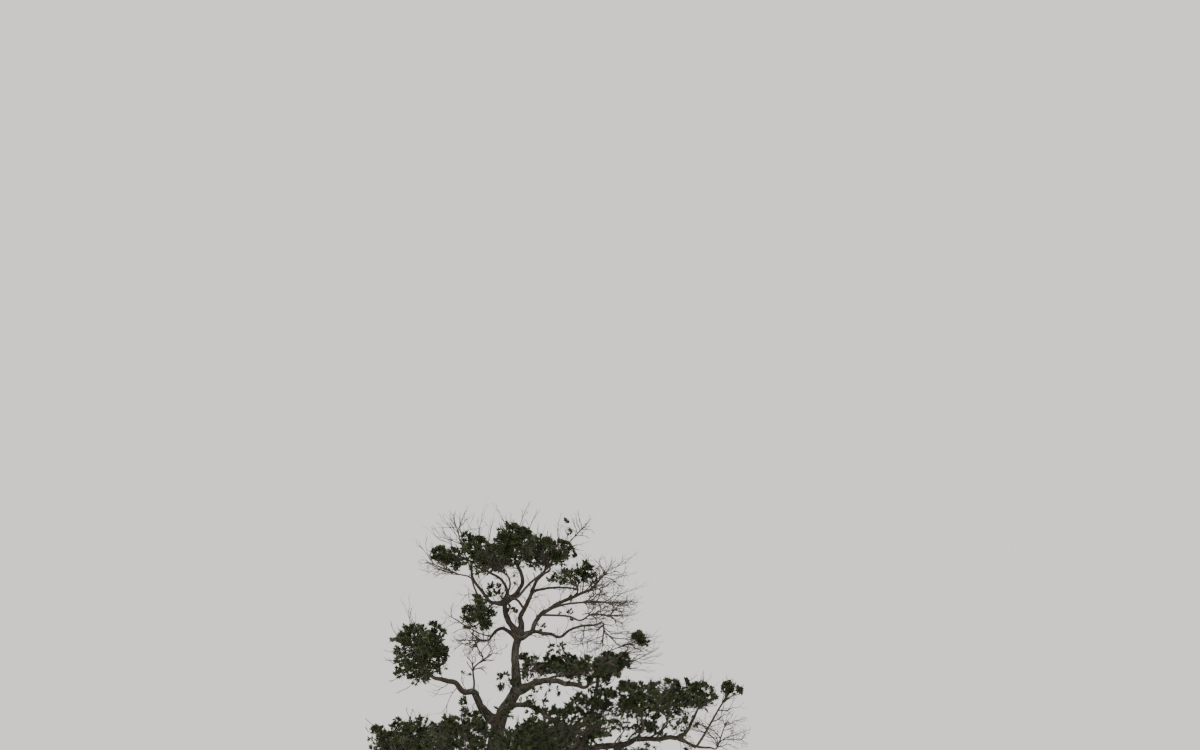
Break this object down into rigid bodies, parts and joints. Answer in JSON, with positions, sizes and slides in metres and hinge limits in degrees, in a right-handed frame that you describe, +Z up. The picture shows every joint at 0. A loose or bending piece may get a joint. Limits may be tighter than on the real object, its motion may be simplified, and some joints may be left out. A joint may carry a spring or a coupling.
{
  "type": "acacia tree",
  "caption": "Mature acacia tree with a leaning forked trunk, spreading boughs, open clumps of small leaves and bare twigs at the crown's edges.",
  "frame": {"origin": "centre of the flat ground-level cut under the trunk", "axes": "+Z up the trunk, +X to the right and +Y away as the picture looks at the tree"},
  "size_m": [11.1001, 8.7117, 12.1827],
  "materials": {
    "bark": "rough fissured grey-brown bark",
    "twig_bark": "matt brown bark of fine twigs",
    "foliage": "leathery dark olive-green leaves"
  },
  "bodies": {
    "root": {"trunk": "bark", "bough_left": "bark", "bough_right_low": "bark", "bough_right_middle": "bark", "bough_right_arching": "bark", "bough_front": "bark", "bough_back_left": "bark", "bough_back": "bark", "bough_left_low": "bark", "bough_front_left": "bark", "bough_upper_left": "bark", "bough_right_upper": "bark", "bough_upper_middle": "bark", "bough_right_drooping": "bark", "bough_left_drooping": "bark", "bough_crown_left": "bark", "bough_crown_middle": "bark", "bough_crown_inner_left": "bark", "bough_crown_right": "bark", "bough_right_upright": "bark", "bough_right_low_rise": "bark", "bough_right_low_end": "bark", "foliage_left": "foliage", "foliage_crown_left": "foliage", "foliage_crown_inner_left": "foliage", "foliage_crown_back_left": "foliage", "foliage_crown_front": "foliage", "foliage_crown_back": "foliage", "foliage_crown_top_right": "foliage", "foliage_crown_right": "foliage", "foliage_upper_left": "foliage", "foliage_middle": "foliage", "foliage_right_middle_front": "foliage", "foliage_right_middle_back": "foliage", "foliage_right_middle": "foliage", "foliage_right_outer": "foliage", "foliage_low_front_right": "foliage", "foliage_right_low_rise": "foliage", "foliage_far_right": "foliage", "foliage_right_low_left": "foliage", "foliage_right_low_right": "foliage", "foliage_right_upright": "foliage", "foliage_front": "foliage", "foliage_front_left": "foliage", "foliage_back": "foliage", "foliage_back_left": "foliage", "foliage_left_low": "foliage", "foliage_front_right": "foliage", "foliage_back_right": "foliage", "twigs_far_right": "twig_bark", "twigs_right_upper": "twig_bark", "twigs_right_middle": "twig_bark", "twigs_right_front": "twig_bark", "twigs_right_lower": "twig_bark", "twigs_left_inner": "twig_bark", "twigs_left_hanging": "twig_bark", "twigs_upper_left": "twig_bark", "twigs_far_left": "twig_bark", "twigs_crown_left": "twig_bark", "twigs_crown_right": "twig_bark"}
  },
  "joints": []
}
